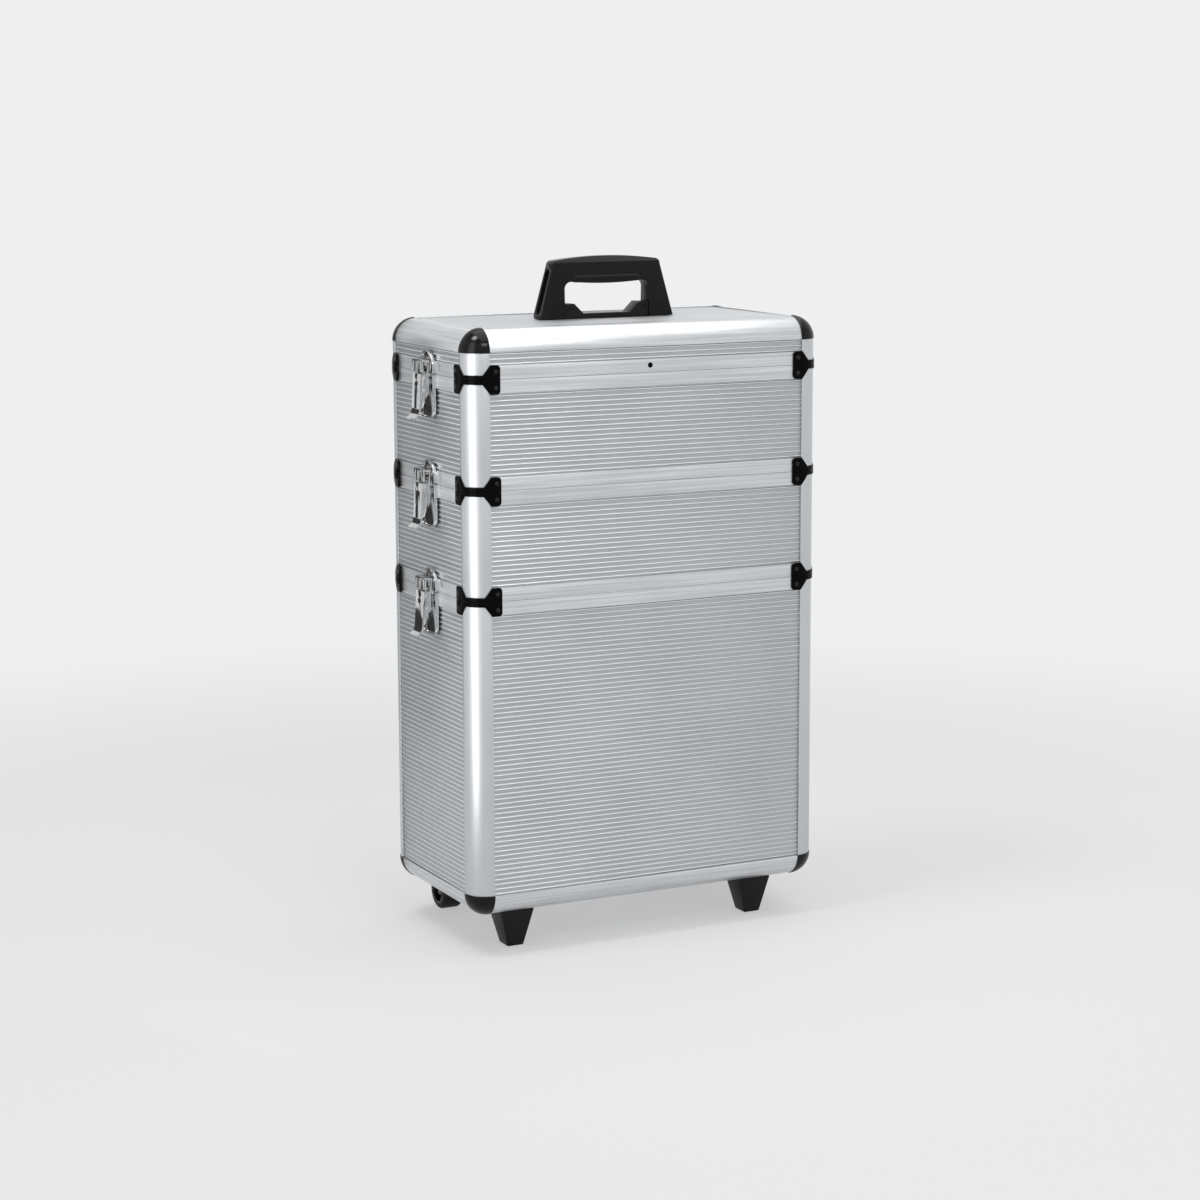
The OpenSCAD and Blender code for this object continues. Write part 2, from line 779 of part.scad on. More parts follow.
module lever_at(side, seam) color(chrome) stand() on_side(side, seam) latch_lever();

module bail_at(side, seam) color(chrome) stand() on_side(side, seam) latch_bail();

// Bottom bin
module bin_panels() color(panel_grey) stand() difference() {
    walls(edge_end, seam_bottom - rim_end, rib_edge, seam_bottom - rib_end);
    corner_room();
}

module bin_floor() color(panel_grey) stand() end_panel();

module bin_posts() color(satin) stand() posts(edge_r, seam_bottom - seam_gap / 2);

module bin_bottom_rails() color(satin) stand() rail_ring();

module bin_ball_corners() color(black) stand() ball_corners();

module bin_rim() color(satin) stand() top_rim(seam_bottom);

module bin_clips() color(black) stand() lower_halves(seam_bottom);

module bin_latch_plates() color(chrome) stand() latch_plates(seam_bottom);

// Tapered feet under the front edge
module front_feet() {
    full = foot_h + end_in;
    front = edge_r - case_d / 2 + foot_back;
    color(black) stand() both_sides() translate([case_w / 2 - foot_in, front, end_in]) intersection() {
        translate([0, foot_top_d / 2, 0]) along_y(2 * foot_top_d)
            polygon([[-foot_top_w / 2, 0], [foot_top_w / 2, 0], [foot_top_w / 2, -foot_band],
                [foot_sole_w / 2, -full], [-foot_sole_w / 2, -full], [-foot_top_w / 2, -foot_band]]);
        along_x(2 * foot_top_w)
            polygon([[0, 0], [foot_top_d, 0], [foot_top_d, -foot_band],
                [foot_rake + foot_sole_d, -full], [foot_rake, -full], [0, -foot_band]]);
    }
}

// Section through a wheel bracket's saddle, round the case's lower back edge
module saddle_section() {
    reach = edge_r + saddle_t;
    difference() {
        union() {
            block2(edge_y - saddle_l, -saddle_t, edge_y, end_in);
            translate([edge_y, edge_r]) intersection() {
                circle(reach);
                block2(-slot_fit, -reach, reach, slot_fit);
            }
            block2(case_d / 2, edge_r, case_d / 2 + saddle_t, edge_r + tab_h);
        }
        translate([edge_y, edge_r]) circle(edge_r + slot_fit);
        block2(edge_y - past, 0, edge_y + past, edge_r);
    }
}

// Wheel bracket: a saddle on the lower back edge with one cheek on the wheel's inner side
module wheel_brackets() {
    boss_r = axle_r + boss_wall;
    wide = wheel_w + cheek_gap + cheek_t;
    color(black) stand() both_sides() difference() {
        union() {
            translate([cheek_x + wide / 2, 0, 0]) along_x(wide) saddle_section();
            translate([cheek_x + cheek_t / 2, 0, 0]) along_x(cheek_t) difference() {
                union() {
                    translate([axle_y, axle_z]) circle(boss_r);
                    polygon([[axle_y - boss_r - cheek_run, -saddle_t / 2], [axle_y - boss_r, axle_z],
                        [axle_y + boss_r, axle_z], [axle_y + boss_r, edge_r / 2],
                        [edge_y, edge_r / 2], [edge_y, -saddle_t / 2]]);
                }
                translate([edge_y, edge_r]) circle(edge_r + slot_fit);
            }
        }
        translate([cheek_x, axle_y, axle_z]) rotate([0, 90, 0])
            cylinder(h = 4 * cheek_t, r = axle_r + seat_fit, center = true);
    }
}

// Axles: a head behind the cheek and a cap that keeps the wheel on
module wheel_axles() {
    cap = wheel_x + wheel_w / 2 - hub_dish + cap_gap;
    head = cheek_x - axle_head;
    color(tube_grey) stand() both_sides() translate([0, axle_y, axle_z]) rotate([0, 90, 0]) {
        translate([0, 0, head]) cylinder(h = axle_head, r = axle_r + axle_rim);
        translate([0, 0, head]) cylinder(h = cap + axle_head - head, r = axle_r);
        translate([0, 0, cap]) cylinder(h = axle_head, r = axle_r + axle_rim);
    }
}

// Places a wheel drawn round z; its dished outer face looks outwards
module wheel_at(side) {
    stand() mirror([side < 0 ? 1 : 0, 0, 0])
        translate([wheel_x, axle_y, axle_z]) rotate([0, 90, 0]) children();
}

// Tyre with rounded shoulders
module tyre() {
    half = wheel_w / 2;
    rotate_extrude() intersection() {
        block2(hub_r + seat_fit, -half, wheel_r, half);
        union() {
            block2(0, -half, wheel_r - tyre_round, half);
            block2(0, tyre_round - half, wheel_r, half - tyre_round);
            for (s = [-1, 1]) translate([wheel_r - tyre_round, s * (half - tyre_round)]) circle(tyre_round);
        }
    }
}

// Hub: a dished web with a raised nave and a ring of round holes
module hub() {
    half = wheel_w / 2;
    nave_r = axle_r + nave_t;
    rim_r = hub_r - hub_rim;
    web = half - hub_dish - nave_up;
    hole_r = (rim_r - nave_r) / 2 - hub_hole_wall;
    difference() {
        rotate_extrude() {
            block2(axle_r + axle_fit, -half, nave_r, half - hub_dish);
            block2(axle_r + axle_fit, -half, hub_r, web);
            block2(rim_r, -half, hub_r, half);
        }
        for (i = [0 : hub_holes - 1]) rotate(i * 360 / hub_holes)
            translate([(rim_r + nave_r) / 2, 0, web - hub_hole_d])
                cylinder(h = hub_hole_d + hub_dish, r = hole_r);
    }
}

module left_tyre() color(black) wheel_at(-1) tyre();

module left_hub() color(lining) wheel_at(-1) hub();

module right_tyre() color(black) wheel_at(1) tyre();

module right_hub() color(lining) wheel_at(1) hub();

// Bracket on the bin's back that holds both outer tubes
module tube_bracket(low, floor_t) {
    back = case_d / 2 - rib_face + slot_fit;
    reach = tube_r + bracket_wall;
    translate([0, 0, low]) difference() {
        linear_extrude(bracket_h) {
            block2(-tube_x - reach - flange_w, back, tube_x + reach + flange_w, back + bracket_t);
            for (s = [-1, 1]) translate([s * tube_x, 0]) {
                translate([0, tube_y]) circle(reach);
                block2(-reach, back, reach, tube_y);
            }
        }
        for (s = [-1, 1]) translate([s * tube_x, tube_y, floor_t])
            cylinder(h = bracket_h + 2 * past, r = tube_r + seat_fit);
    }
}

module pull_foot_bracket() color(black) stand() tube_bracket(tube_low - bracket_wall, bracket_wall);

module pull_top_bracket() color(black) stand()
    tube_bracket(seam_bottom - rib_end - bracket_drop - bracket_h, -past);

module tube_pair() for (s = [-1, 1]) translate([s * tube_x, tube_y, 0]) children();

// Tube from low to high with an optional collar on top
module tube(radius, low, high, collar) {
    difference() {
        union() {
            translate([0, 0, low]) cylinder(h = high - low, r = radius);
            if (collar > 0) translate([0, 0, high - collar_h]) cylinder(h = collar_h, r = collar);
        }
        translate([0, 0, low - past]) cylinder(h = high - low + 2 * past, r = radius - tube_t);
    }
}

module pull_outer_tubes() color(tube_grey) stand() tube_pair() tube(tube_r, tube_low, tube_top, 0);

module pull_middle_tubes() color(tube_grey) stand() tube_pair()
    tube(middle_r, tube_low + tube_step, middle_top, tube_r + collar_lip);

module pull_inner_tubes() color(tube_grey) stand() tube_pair() {
    tube(inner_r, tube_low + 2 * tube_step, pull_z, 0);
    translate([0, 0, middle_top + collar_gap]) difference() {
        cylinder(h = collar_h - collar_gap, r = middle_r);
        translate([0, 0, -past]) cylinder(h = collar_h + 2 * past, r = inner_r - tube_t / 2);
    }
}

// Pull grip: a round bar turned down into a socket for each inner tube
module pull_grip() {
    color(black) stand() difference() {
        union() {
            for (s = [-1, 1]) translate([s * tube_x, tube_y, 0]) {
                translate([0, 0, inner_top]) cylinder(h = pull_h, r = pull_r);
                translate([0, 0, pull_z]) sphere(pull_r);
            }
            translate([0, tube_y, pull_z]) rotate([0, 90, 0])
                cylinder(h = 2 * tube_x, r = pull_r, center = true);
        }
        tube_pair() translate([0, 0, inner_top - past]) cylinder(h = pull_h + past, r = inner_r + seat_fit);
        translate([0, tube_y, pull_top - button_in - button_up - past]) linear_extrude(pull_r)
            slot2(button_l + 2 * button_fit, button_w + 2 * button_fit);
    }
}

// Release button in the grip's top, with a crowned face
module pull_button() {
    crown_r = arch_r(button_l / 2, button_crown);
    color("dimgray") stand() translate([0, tube_y, pull_top - button_in]) intersection() {
        linear_extrude(button_in + button_up) slot2(button_l, button_w);
        translate([0, 0, button_in + button_up - crown_r]) rotate([90, 0, 0])
            cylinder(h = 2 * button_w, r = crown_r, center = true, $fn = 256);
    }
}

// Stacking trays
module middle_panels() color(panel_grey) stand() walls(seam_bottom + rim_end, seam_middle - rim_end,
    seam_bottom + rib_end, seam_middle - rib_end);

module middle_floor() color(lining) stand() tray_floor(seam_bottom);

module middle_posts() color(satin) stand() posts(seam_bottom + seam_gap / 2, seam_middle - seam_gap / 2);

module middle_rims() color(satin) stand() {
    bottom_rim(seam_bottom, true);
    top_rim(seam_middle);
}

module middle_clips() color(black) stand() {
    upper_halves(seam_bottom);
    lower_halves(seam_middle);
}

module middle_latch_plates() color(chrome) stand() latch_plates(seam_middle);

module middle_keepers() color(chrome) stand() keepers(seam_bottom);

module upper_panels() color(panel_grey) stand() walls(seam_middle + rim_end, seam_top - rim_end,
    seam_middle + rib_end, seam_top - rib_end);

module upper_floor() color(lining) stand() tray_floor(seam_middle);

module upper_posts() color(satin) stand() posts(seam_middle + seam_gap / 2, seam_top - seam_gap / 2);

module upper_rims() color(satin) stand() {
    bottom_rim(seam_middle, true);
    top_rim(seam_top);
}

module upper_clips() color(black) stand() {
    upper_halves(seam_middle);
    lower_halves(seam_top);
}

module upper_latch_plates() color(chrome) stand() latch_plates(seam_top);

module upper_keepers() color(chrome) stand() keepers(seam_middle);

// Lid
module at_top() translate([0, 0, case_h]) mirror([0, 0, 1]) children();

module lid_top_panel() color(panel_grey) stand() at_top() end_panel();

module lid_panels() color(panel_grey) stand() difference() {
    walls(seam_top + rim_end, case_h - edge_end, seam_top + rib_end, case_h - rib_edge);
    at_top() corner_room();
}

module lid_posts() color(satin) stand() posts(seam_top + seam_gap / 2, case_h - edge_r);

module lid_rails() color(satin) stand() at_top() rail_ring();

module lid_ball_corners() color(black) stand() at_top() ball_corners();

module lid_rim() color(satin) stand() bottom_rim(seam_top, false);

module lid_clips() color(black) stand() upper_halves(seam_top);

module lid_keepers() color(chrome) stand() keepers(seam_top);

// Domed stud on the lid's front rim
module lid_stud() {
    dome_r = arch_r(stud_r, stud_h);
    color(black) stand() translate([0, -case_d / 2, seam_top + stud_up]) rotate([90, 0, 0]) intersection() {
        cylinder(h = stud_h, r = stud_r);
        translate([0, 0, stud_h - dome_r]) sphere(dome_r);
    }
}

// Base of the carry handle: a low bar that slopes up to a lug at each end
module handle_base() {
    flat = lug_x - lug_w;
    foot = flat - lug_run;
    color(black) stand() difference() {
        translate([0, 0, lid_face]) along_y(base_d)
            polygon([[-lug_x, 0], [lug_x, 0], [lug_x, lug_h], [flat, lug_h], [foot, bar_t],
                [-foot, bar_t], [-flat, lug_h], [-lug_x, lug_h]]);
        handle_pin_line() both_ends() translate([0, 0, lug_x - lug_w])
            cylinder(h = lug_w + past, r = hinge_r + seat_fit);
        both_sides() translate([lug_x - lug_w / 2, -base_d / 2, lid_face + lug_hole_up]) rotate([90, 0, 0])
            cylinder(h = 2 * lug_hole_d, r = lug_hole_r, center = true);
    }
}

module handle_pin_line() translate([0, hinge_y, hinge_z]) rotate([0, 90, 0]) children();

// Pins from the lugs into the handle's legs
module handle_pins() {
    color(tube_grey) stand() handle_pin_line() both_ends() translate([0, 0, lug_x - lug_w])
        cylinder(h = lug_w + lug_gap + pin_in, r = hinge_r);
}

module both_ends() for (mz = [0, 1]) mirror([0, 0, mz]) children();

// Front outline of the handle: tapered legs, a crowned grip and a hollow for the hand
module handle_front() {
    foot = handle_foot_w / 2;
    top = handle_top_w / 2;
    inside = grip_gap / 2;
    crown_r = arch_r(top - handle_r, grip_crown);
    swell_r = arch_r(inside - hollow_r, grip_swell);
    difference() {
        union() {
            polygon([[-foot, leg_low], [foot, leg_low],
                [top, grip_top - handle_r], [-top, grip_top - handle_r]]);
            block2(handle_r - top, grip_low, top - handle_r, grip_top);
            for (s = [-1, 1]) translate([s * (top - handle_r), grip_top - handle_r]) circle(handle_r);
            translate([0, handle_top - crown_r]) intersection() {
                circle(crown_r, $fn = 256);
                block2(handle_r - top, crown_r - grip_h, top - handle_r, crown_r);
            }
        }
        difference() {
            union() {
                block2(-inside, leg_low - past, inside, grip_low - hollow_r);
                block2(hollow_r - inside, leg_low - past, inside - hollow_r, grip_low);
                for (s = [-1, 1])
                    translate([s * (inside - hollow_r), grip_low - hollow_r]) circle(hollow_r);
            }
            translate([0, grip_low - grip_swell + swell_r]) circle(swell_r, $fn = 256);
        }
    }
}

// Side outline of the handle: bevelled along its top, and rounded at the heel that it folds round
module handle_side() {
    heel = hinge_up - hinge_fit;
    front = -handle_foot_d / 2;
    top = handle_top_d / 2;
    polygon([[front, leg_low], [hinge_y, leg_low], [hinge_y + heel, hinge_z], [top, handle_top - bevel_h],
        [top - bevel_d, handle_top], [bevel_d - top, handle_top], [-top, handle_top - bevel_h]]);
    translate([hinge_y, hinge_z]) circle(heel);
}

// Roll under the grip, where the fingers close round it
module grip_roll() {
    share = (grip_low + roll_r - leg_low) / (handle_top - bevel_h - leg_low);
    face = (handle_foot_d + share * (handle_top_d - handle_foot_d)) / 2;
    for (s = [-1, 1]) translate([0, s * (face + roll_out - roll_r), grip_low + roll_r - grip_swell / 2]) {
        rotate([0, 90, 0]) cylinder(h = roll_l, r = roll_r, center = true);
        for (e = [-1, 1]) translate([e * roll_l / 2, 0, 0]) sphere(roll_r);
    }
}

// Carry handle with a long recess in each leg's outer side
module carry_handle() {
    leg_mid = (leg_low + grip_top - handle_r) / 2;
    mid_x = (handle_foot_w + handle_top_w) / 4;
    color(black) stand() difference() {
        union() {
            intersection() {
                along_y(2 * handle_foot_d) handle_front();
                along_x(2 * handle_foot_w) handle_side();
            }
            grip_roll();
        }
        handle_pin_line()
            cylinder(h = grip_gap + 2 * (pin_in + hinge_fit), r = hinge_r + hinge_bore_fit, center = true);
        both_sides() translate([mid_x, 0, leg_mid]) rotate([0, -leg_lean, 0]) rotate([90, 0, 90])
            translate([0, 0, -recess_d]) linear_extrude(2 * recess_d) rotate(90) slot2(recess_l, recess_w);
    }
}

// Latches, from the top seam down
module left_top_lever() lever_at(-1, seam_top);

module left_top_bail() bail_at(-1, seam_top);

module right_top_lever() lever_at(1, seam_top);

module right_top_bail() bail_at(1, seam_top);

module left_middle_lever() lever_at(-1, seam_middle);

module left_middle_bail() bail_at(-1, seam_middle);

module right_middle_lever() lever_at(1, seam_middle);

module right_middle_bail() bail_at(1, seam_middle);

module left_bottom_lever() lever_at(-1, seam_bottom);

module left_bottom_bail() bail_at(-1, seam_bottom);

module right_bottom_lever() lever_at(1, seam_bottom);

module right_bottom_bail() bail_at(1, seam_bottom);

bin_panels();
bin_floor();
bin_posts();
bin_bottom_rails();
bin_ball_corners();
bin_rim();
bin_clips();
bin_latch_plates();
front_feet();
wheel_brackets();
wheel_axles();
left_tyre();
left_hub();
right_tyre();
right_hub();
pull_foot_bracket();
pull_top_bracket();
pull_outer_tubes();
pull_middle_tubes();
pull_inner_tubes();
pull_grip();
pull_button();
middle_panels();
middle_floor();
middle_posts();
middle_rims();
middle_clips();
middle_latch_plates();
middle_keepers();
upper_panels();
upper_floor();
upper_posts();
upper_rims();
upper_clips();
upper_latch_plates();
upper_keepers();
lid_top_panel();
lid_panels();
lid_posts();
lid_rails();
lid_ball_corners();
lid_rim();
lid_clips();
lid_keepers();
lid_stud();
handle_base();
handle_pins();
carry_handle();
left_top_lever();
left_top_bail();
right_top_lever();
right_top_bail();
left_middle_lever();
left_middle_bail();
right_middle_lever();
right_middle_bail();
left_bottom_lever();
left_bottom_bail();
right_bottom_lever();
right_bottom_bail();
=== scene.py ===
import json
import math

import bmesh
import bpy
from mathutils import Matrix, Vector


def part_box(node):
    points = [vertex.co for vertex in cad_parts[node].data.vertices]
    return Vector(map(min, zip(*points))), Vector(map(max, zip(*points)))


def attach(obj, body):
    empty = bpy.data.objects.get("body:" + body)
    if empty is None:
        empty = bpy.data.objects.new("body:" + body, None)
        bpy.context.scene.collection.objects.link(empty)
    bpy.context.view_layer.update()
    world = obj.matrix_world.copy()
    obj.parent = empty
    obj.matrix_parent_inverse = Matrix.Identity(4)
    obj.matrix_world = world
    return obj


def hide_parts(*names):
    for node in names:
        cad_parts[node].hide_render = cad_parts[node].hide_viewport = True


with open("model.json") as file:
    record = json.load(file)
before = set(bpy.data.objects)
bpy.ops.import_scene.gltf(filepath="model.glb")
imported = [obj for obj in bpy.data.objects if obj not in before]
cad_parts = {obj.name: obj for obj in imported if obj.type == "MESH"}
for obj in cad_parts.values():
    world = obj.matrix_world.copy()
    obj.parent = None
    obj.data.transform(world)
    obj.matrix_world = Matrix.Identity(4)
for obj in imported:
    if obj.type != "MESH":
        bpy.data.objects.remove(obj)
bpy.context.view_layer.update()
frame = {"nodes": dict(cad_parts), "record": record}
mm = 0.001
record = frame["record"]
bodyOf = {node: body for body, members in record["behaviour"]["bodies"].items() for node in members}

# the case's own outline and seams, read off the solids
postLow, postHigh = (Vector(corner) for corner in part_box("bin_posts"))
halfWide = (postHigh.x - postLow.x) / 2
halfDeep = (postHigh.y - postLow.y) / 2
midY = (postHigh.y + postLow.y) / 2
edgeRound = postLow.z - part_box("bin_bottom_rails")[0][2]


def seamBetween(lower, upper):
    return (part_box(lower)[1][2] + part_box(upper)[0][2]) / 2


seams = {
    "bottom": seamBetween("bin_posts", "middle_posts"),
    "middle": seamBetween("middle_posts", "upper_posts"),
    "top": seamBetween("upper_posts", "lid_posts"),
}
sectionBelow = {"bottom": "bin", "middle": "middle_tray", "top": "upper_tray"}
sectionAbove = {"bottom": "middle_tray", "middle": "upper_tray", "top": "lid"}


def addObject(name, data):
    thing = bpy.data.objects.new(name, data)
    bpy.context.collection.objects.link(thing)
    return thing


# shader helpers
def startMaterial(name):
    material = bpy.data.materials.new(name)
    material.use_nodes = True
    tree = material.node_tree
    return material, tree, tree.nodes["Principled BSDF"]


def addNode(tree, kind, inputs=None, **settings):
    node = tree.nodes.new(kind)
    for key, value in settings.items():
        setattr(node, key, value)
    for key, value in (inputs or {}).items():
        if isinstance(value, bpy.types.NodeSocket):
            tree.links.new(value, node.inputs[key])
        else:
            node.inputs[key].default_value = value
    return node


def mathNode(tree, operation, first, second=0.0):
    return addNode(tree, "ShaderNodeMath", {0: first, 1: second}, operation=operation).outputs[0]


def remap(tree, value, fromLow, fromHigh, toLow, toHigh):
    names = {"Value": value, "From Min": fromLow, "From Max": fromHigh, "To Min": toLow, "To Max": toHigh}
    return addNode(tree, "ShaderNodeMapRange", names).outputs["Result"]


def mixColor(tree, amount, first, second):
    node = addNode(tree, "ShaderNodeMix", data_type="RGBA")
    for index, value in ((0, amount), (6, first), (7, second)):
        if isinstance(value, bpy.types.NodeSocket):
            tree.links.new(value, node.inputs[index])
        elif index == 0:
            node.inputs[index].default_value = value
        else:
            node.inputs[index].default_value = (*value, 1.0)
    return node.outputs[2]


def objectPlace(tree):
    return addNode(tree, "ShaderNodeTexCoord").outputs["Object"]


def noiseAt(tree, place, scale, detail=3.0, rough=0.55, stretch=(1.0, 1.0, 1.0)):
    spread = addNode(tree, "ShaderNodeMapping", {"Vector": place, "Scale": stretch}).outputs["Vector"]
    inputs = {"Vector": spread, "Scale": scale, "Detail": detail, "Roughness": rough}
    return addNode(tree, "ShaderNodeTexNoise", inputs).outputs["Fac"]


def addBump(tree, shader, height, strength, distance):
    inputs = {"Height": height, "Strength": strength, "Distance": distance}
    tree.links.new(addNode(tree, "ShaderNodeBump", inputs).outputs["Normal"], shader.inputs["Normal"])


def shade(color, amount):
    return tuple(min(1.0, channel * amount) for channel in color)


# most of a noise's values lie in these two ranges
noiseCore = (0.3, 0.7)
noiseSpan = (0.25, 0.75)
cloudDetail = 4.0


# distances from the case's middle along x and y, and the height
def facePlaces(tree, place):
    axes = addNode(tree, "ShaderNodeSeparateXYZ", {"Vector": place}).outputs
    acrossX = mathNode(tree, "ABSOLUTE", axes["X"])
    acrossY = mathNode(tree, "ABSOLUTE", mathNode(tree, "SUBTRACT", axes["Y"], midY))
    return acrossX, acrossY, axes["Z"]


# satin aluminium of posts, rails and rims, drawn out along each length
satinLook = {"rough": (0.32, 0.4), "fine": 600.0, "long": 7.0, "cloud": 18.0,
             "bump": 0.03, "depth": 0.04 * mm}
postLook = {**satinLook, "tone": (0.58, 0.595, 0.61), "vary": 0.04, "cloudShare": 0.4}
railLook = {**satinLook, "tone": (0.64, 0.655, 0.67), "vary": 0.2, "cloudShare": 0.12}


def satinFinish(name, look, upright):
    material, tree, shader = startMaterial(name)
    place = objectPlace(tree)
    fine = look["fine"]
    if upright:
        streak = noiseAt(tree, place, 1.0, stretch=(fine, fine, look["long"]))
    else:
        _, acrossY, _ = facePlaces(tree, place)
        onFront = mathNode(tree, "GREATER_THAN", acrossY, halfDeep - edgeRound)
        alongX = noiseAt(tree, place, 1.0, stretch=(look["long"], fine, fine))
        alongY = noiseAt(tree, place, 1.0, stretch=(fine, look["long"], fine))
        mixed = addNode(tree, "ShaderNodeMix", {0: onFront, 2: alongY, 3: alongX})
        streak = mixed.outputs[0]
    cloud = noiseAt(tree, place, look["cloud"], detail=cloudDetail)
    tint = addNode(tree, "ShaderNodeMix", {0: look["cloudShare"], 2: streak, 3: cloud}).outputs[0]
    vary = look["vary"]
    spread = remap(tree, tint, *noiseCore, 0.0, 1.0)
    color = mixColor(tree, spread, shade(look["tone"], 1 - vary), shade(look["tone"], 1 + vary))
    tree.links.new(color, shader.inputs["Base Color"])
    tree.links.new(remap(tree, tint, *noiseSpan, *look["rough"]), shader.inputs["Roughness"])
    shader.inputs["Metallic"].default_value = 1.0
    addBump(tree, shader, streak, look["bump"], look["depth"])
    return material


# ribbed wall panels: painted highlight on the rib crests, painted shade in the darker grooves, and a dark
# lining on the inside
panelLook = {"groove": (0.42, 0.437, 0.452), "crest": (0.81, 0.828, 0.845), "lining": (0.018, 0.018, 0.02),
             "flat": 2.0 * mm, "crestStart": 0.4 * mm, "crestEnd": 0.8 * mm, "liningStart": -4.5 * mm,
             "liningDull": 0.4, "wear": 0.16, "cloud": 9.0,
             "rough": (0.36, 0.42), "fine": 500.0, "long": 4.0, "bump": 0.015, "depth": 0.04 * mm}
topLook = {**panelLook, "groove": (0.47, 0.482, 0.494), "rough": (0.5, 0.58)}


def panelFinish(name, look, standing):
    material, tree, shader = startMaterial(name)
    place = objectPlace(tree)
    acrossX, acrossY, height = facePlaces(tree, place)
    if standing:
        proudX = mathNode(tree, "SUBTRACT", acrossX, halfWide - look["flat"])
        proudY = mathNode(tree, "SUBTRACT", acrossY, halfDeep - look["flat"])
        proud = mathNode(tree, "MAXIMUM", proudX, proudY)
    else:
        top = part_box("lid_top_panel")[1][2]
        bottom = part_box("bin_floor")[0][2]
        middle = (top + bottom) / 2
        fromMiddle = mathNode(tree, "ABSOLUTE", mathNode(tree, "SUBTRACT", height, middle))
        proud = mathNode(tree, "SUBTRACT", fromMiddle, (top - bottom) / 2)
    fine = look["fine"]
    streak = noiseAt(tree, place, 1.0, stretch=(look["long"], look["long"], fine))
    cloud = noiseAt(tree, place, look["cloud"], detail=cloudDetail)
    # painted highlight: crests lighter than the grooves by how far they stand out, and wear lightens random
    # patches towards the same crest tone
    crest = remap(tree, proud, look["crestStart"], look["crestEnd"], 0.0, 1.0)
    metal = mixColor(tree, crest, look["groove"], look["crest"])
    worn = mixColor(tree, remap(tree, cloud, *noiseCore, 0.0, look["wear"]), metal, look["crest"])
    inside = mathNode(tree, "LESS_THAN", proud, look["liningStart"])
    color = mixColor(tree, inside, worn, look["lining"])
    tree.links.new(color, shader.inputs["Base Color"])
    metallic = mathNode(tree, "SUBTRACT", 1.0, inside)
    tree.links.new(metallic, shader.inputs["Metallic"])
    duller = mathNode(tree, "MULTIPLY", inside, look["liningDull"])
    rough = mathNode(tree, "ADD", remap(tree, streak, *noiseSpan, *look["rough"]), duller)
    tree.links.new(rough, shader.inputs["Roughness"])
    addBump(tree, shader, streak, look["bump"], look["depth"])
    return material


# moulded plastics, rubber and board: a tone, a fine grain and a slow change of gloss
mouldedCloud = 25.0
mouldedVary = (0.8, 1.25)


def mouldedFinish(name, look):
    material, tree, shader = startMaterial(name)
    place = objectPlace(tree)
    grain = noiseAt(tree, place, look["grain"], detail=2.0)
    cloud = noiseAt(tree, place, mouldedCloud, detail=cloudDetail)
    color = mixColor(tree, cloud, *(shade(look["tone"], amount) for amount in mouldedVary))
    tree.links.new(color, shader.inputs["Base Color"])
    tree.links.new(remap(tree, cloud, *noiseCore, *look["rough"]), shader.inputs["Roughness"])
    shader.inputs["Specular IOR Level"].default_value = look["gloss"]
    addBump(tree, shader, grain, look["bump"], look["depth"])
    return material


# bright plate and steel: almost clean, with faint ripples and finger haze
plateVary = (0.92, 1.06)


def plateFinish(name, look):
    material, tree, shader = startMaterial(name)
    place = objectPlace(tree)
    haze = noiseAt(tree, place, look["haze"], detail=cloudDetail)
    ripple = noiseAt(tree, place, look["ripple"], detail=1.0)
    color = mixColor(tree, haze, *(shade(look["tone"], amount) for amount in plateVary))
    tree.links.new(color, shader.inputs["Base Color"])
    tree.links.new(remap(tree, haze, *noiseCore, *look["rough"]), shader.inputs["Roughness"])
    shader.inputs["Metallic"].default_value = 1.0
    addBump(tree, shader, ripple, look["bump"], look["depth"])
    return material


plasticLooks = {
    "glossBlack": {"tone": (0.002, 0.002, 0.0024), "grain": 900.0, "gloss": 0.04,
                   "rough": (0.13, 0.19), "bump": 0.04, "depth": 0.04 * mm},
    "ballBlack": {"tone": (0.0018, 0.0018, 0.002), "grain": 900.0, "gloss": 0.22,
                  "rough": (0.14, 0.18), "bump": 0.03, "depth": 0.04 * mm},
    "rivetBlack": {"tone": (0.006, 0.006, 0.0065), "grain": 900.0, "gloss": 0.25,
                   "rough": (0.16, 0.22), "bump": 0.04, "depth": 0.04 * mm},
    "satinBlack": {"tone": (0.0065, 0.0065, 0.007), "grain": 1500.0, "gloss": 0.2,
                   "rough": (0.38, 0.48), "bump": 0.12, "depth": 0.08 * mm},
    "handleBlack": {"tone": (0.003, 0.0032, 0.0034), "grain": 1100.0, "gloss": 0.2,
                    "rough": (0.2, 0.28), "bump": 0.1, "depth": 0.08 * mm},
    "hubBlack": {"tone": (0.007, 0.007, 0.0075), "grain": 1100.0, "gloss": 0.4,
                 "rough": (0.2, 0.28), "bump": 0.06, "depth": 0.06 * mm},
    "buttonGrey": {"tone": (0.16, 0.16, 0.17), "grain": 1500.0, "gloss": 0.4,
                   "rough": (0.35, 0.45), "bump": 0.1, "depth": 0.06 * mm},
    "lockBlack": {"tone": (0.006, 0.006, 0.006), "grain": 1500.0, "gloss": 0.2,
                  "rough": (0.3, 0.4), "bump": 0.05, "depth": 0.03 * mm},
    "blackBoard": {"tone": (0.02, 0.02, 0.021), "grain": 600.0, "gloss": 0.25,
                   "rough": (0.75, 0.9), "bump": 0.3, "depth": 0.2 * mm},
    "tyreRubber": {"tone": (0.01, 0.01, 0.01), "grain": 700.0, "gloss": 0.25,
                   "rough": (0.55, 0.7), "bump": 0.25, "depth": 0.1 * mm},
}
